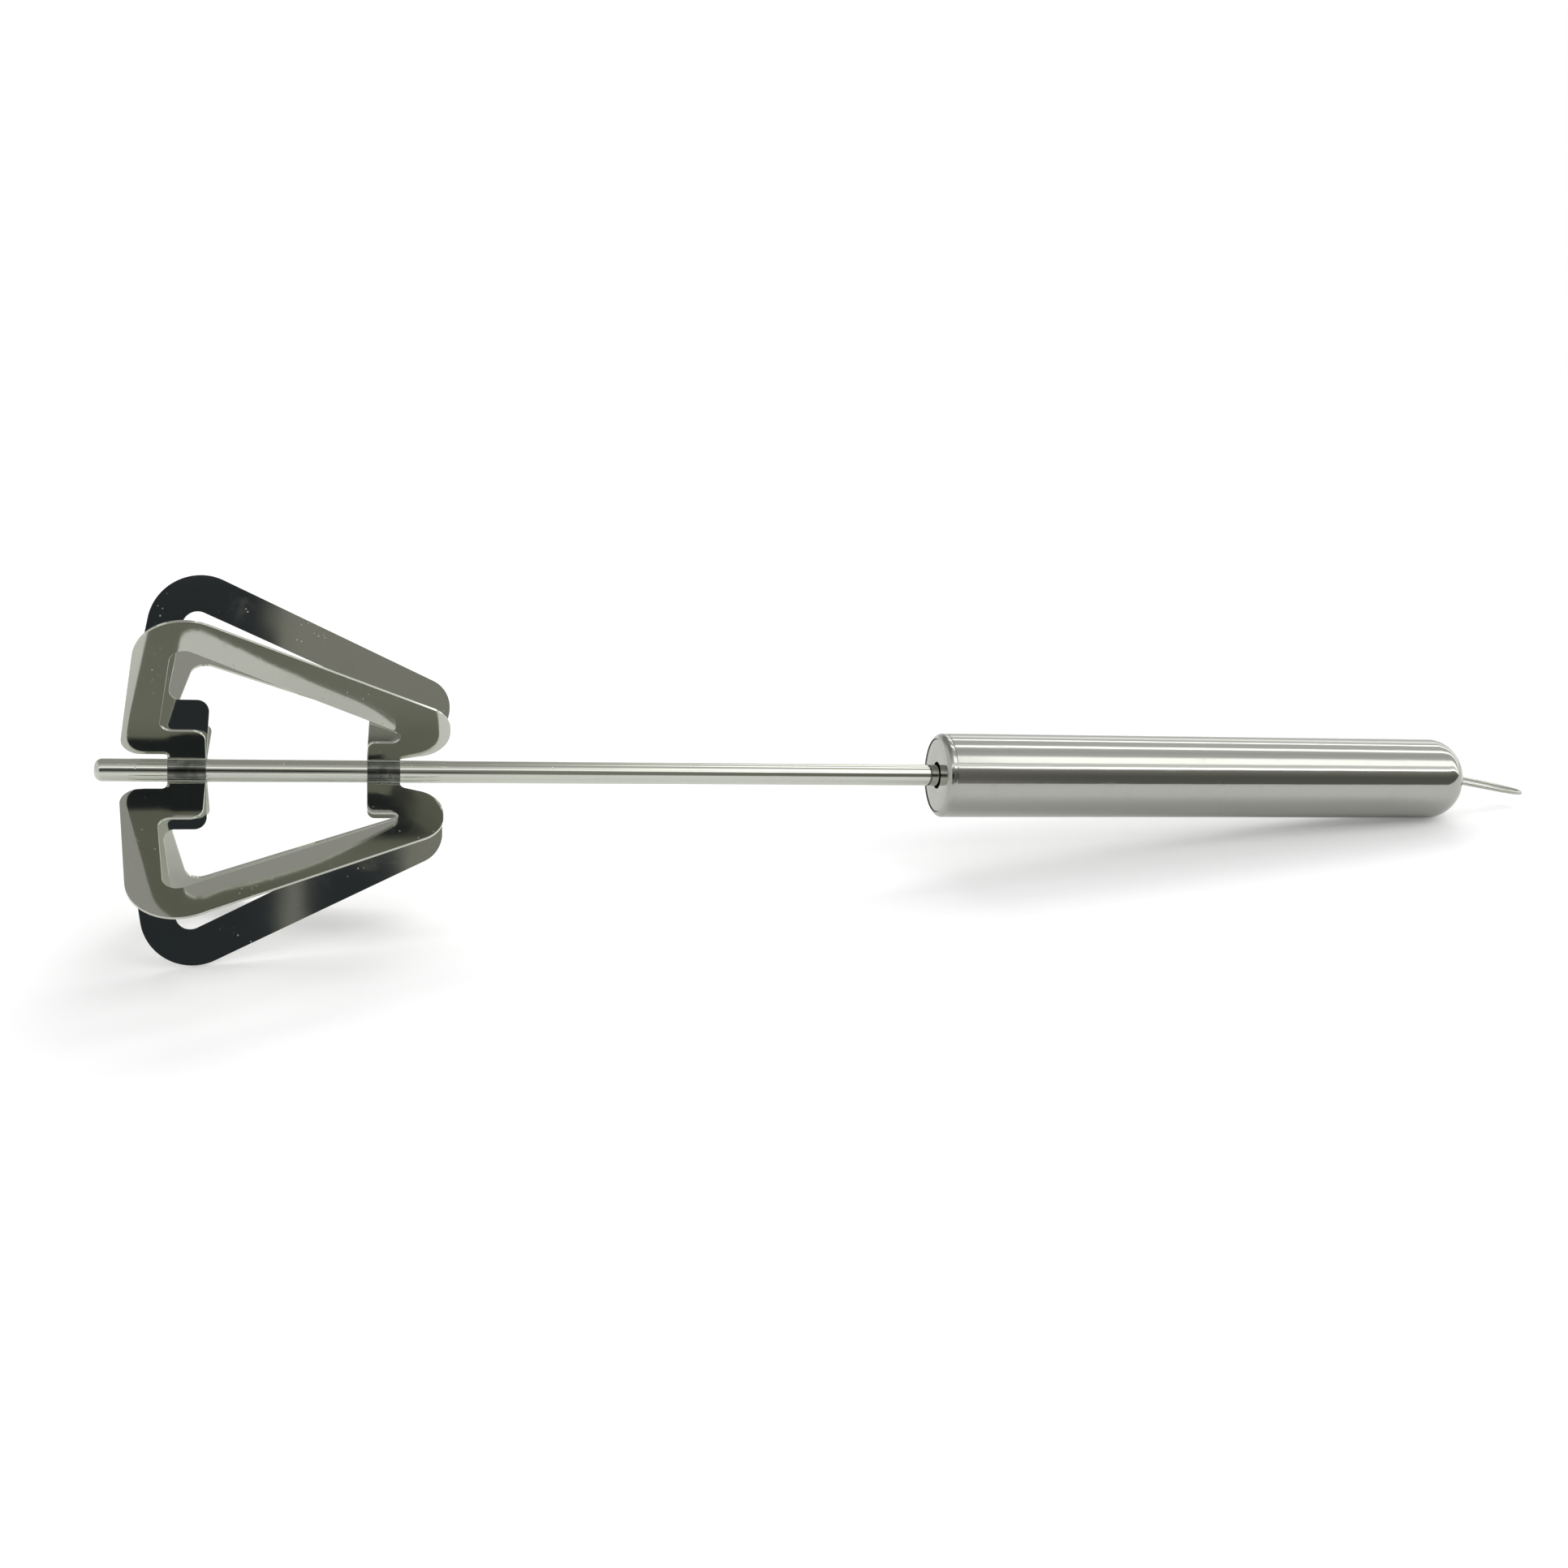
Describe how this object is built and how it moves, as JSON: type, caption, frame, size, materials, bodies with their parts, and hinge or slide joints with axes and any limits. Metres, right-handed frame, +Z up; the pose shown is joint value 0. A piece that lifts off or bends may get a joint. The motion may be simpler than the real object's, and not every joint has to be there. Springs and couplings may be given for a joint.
{
  "type": "hand push churner",
  "caption": "Hand churner: pushing its tubular steel handle spins a thin shaft with flat triangular sheet wings, to froth, whip or churn; a wire loop hangs it up.",
  "frame": {"origin": "on the floor under the middle of the bounding box, with the churner lying on its side", "axes": "+X along the churner from the wings to the hanging loop, +Y away from the pictured side, +Z up"},
  "size_m": [0.3466, 0.0784, 0.078],
  "materials": {
    "brushed_tube": "stainless tube, satin, brushed along its length",
    "polished_sheet": "thin stainless sheet, mirror polished, with fine scratches",
    "polished_rod": "stainless shaft, polished",
    "satin_disc": "stainless disc, half polished",
    "spring_wire": "drawn stainless wire and strip",
    "black_nylon": "black nylon, matt"
  },
  "bodies": {
    "handle": {"handle_shell": "brushed_tube", "front_disc": "satin_disc", "guide_bush": "black_nylon", "end_plug": "black_nylon", "drive_strip": "spring_wire", "return_spring": "spring_wire"},
    "thrust": {"thrust_washer": "spring_wire"},
    "whisk": {"drive_nut": "black_nylon", "shaft": "polished_rod", "near_frame": "polished_sheet", "flat_frame": "polished_sheet", "far_frame": "polished_sheet"},
    "loop": {"hanging_loop": "spring_wire"}
  },
  "joints": [
    {"name": "handle_push", "type": "slide", "parent": "handle", "child": "thrust", "axis": [0.9953, 0, -0.0972], "range_m": [0, 0.06], "stiffness_N_per_m": 120, "springref_m": -0.02, "deforming": ["return_spring"]},
    {"name": "whisk_spin", "type": "hinge", "parent": "thrust", "child": "whisk", "pos_m": [0.03581, 0, 0.02067], "axis": [0.9953, 0, -0.0972], "range_deg": [0, 540]},
    {"name": "loop_tilt", "type": "hinge", "parent": "handle", "child": "loop", "pos_m": [0.1528, 0, 0.00924], "axis": [0.0135, -0.9903, 0.1385], "range_deg": [0, 22]}
  ],
  "couplings": [
    {"joint": "whisk_spin", "follows": "handle_push", "rad_per_m": 157.08}
  ]
}
